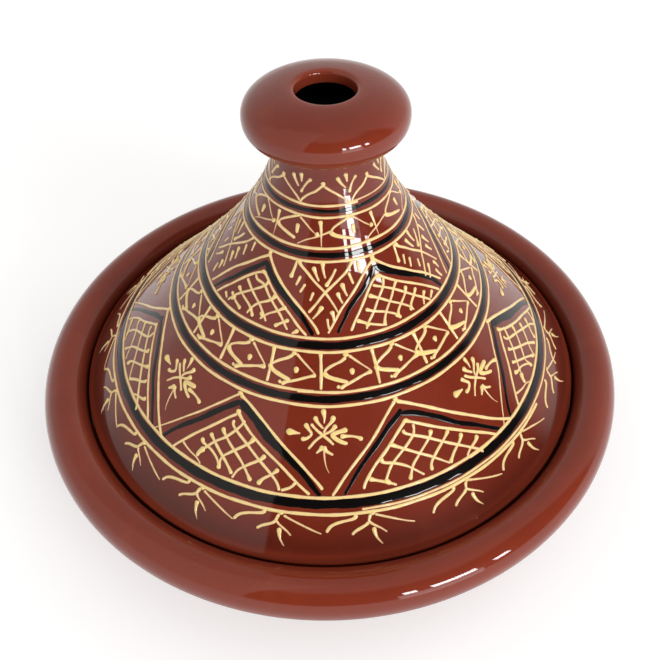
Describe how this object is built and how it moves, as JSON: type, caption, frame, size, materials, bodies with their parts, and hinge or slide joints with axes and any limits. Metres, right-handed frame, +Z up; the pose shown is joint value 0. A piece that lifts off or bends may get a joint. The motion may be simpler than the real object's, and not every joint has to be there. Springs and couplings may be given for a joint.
{
  "type": "tagine pot",
  "caption": "Round glazed clay cooking pot: shallow dish with a fat rolled rim and a tall cone lid with a hollow knob, decorated in raised cream slip between black bands.",
  "frame": {"origin": "centre of the foot ring's flat underside, on the table", "axes": "+Z up the pot's axis, towards the knob; the pot is round, so +X and +Y are any two square directions"},
  "size_m": [0.3, 0.3, 0.2103],
  "materials": {
    "glazed_clay": "clear gloss glaze over red-brown clay, pooled a little darker in the hollows",
    "black_enamel": "brushed black enamel under the same gloss glaze",
    "cream_slip": "raised trailed cream slip with rounded beads, under the same gloss glaze"
  },
  "bodies": {
    "dish": {"base_dish": "glazed_clay"},
    "lid": {"lid_cone": "glazed_clay", "lid_knob": "glazed_clay", "black_band_1": "black_enamel", "black_band_2": "black_enamel", "black_band_3": "black_enamel", "black_band_4": "black_enamel", "black_band_5": "black_enamel", "slip_ring_1_upper": "cream_slip", "slip_ring_2_upper": "cream_slip", "slip_ring_3_upper": "cream_slip", "slip_ring_4_upper": "cream_slip", "slip_ring_5_upper": "cream_slip", "slip_ring_1_lower": "cream_slip", "slip_ring_2_lower": "cream_slip", "slip_ring_3_lower": "cream_slip", "slip_ring_4_lower": "cream_slip", "slip_ring_5_lower": "cream_slip"}
  },
  "joints": [
    {"name": "lid_lift", "type": "slide", "parent": "dish", "child": "lid", "axis": [0, 0, 1], "range_m": [0, 0.15]}
  ]
}
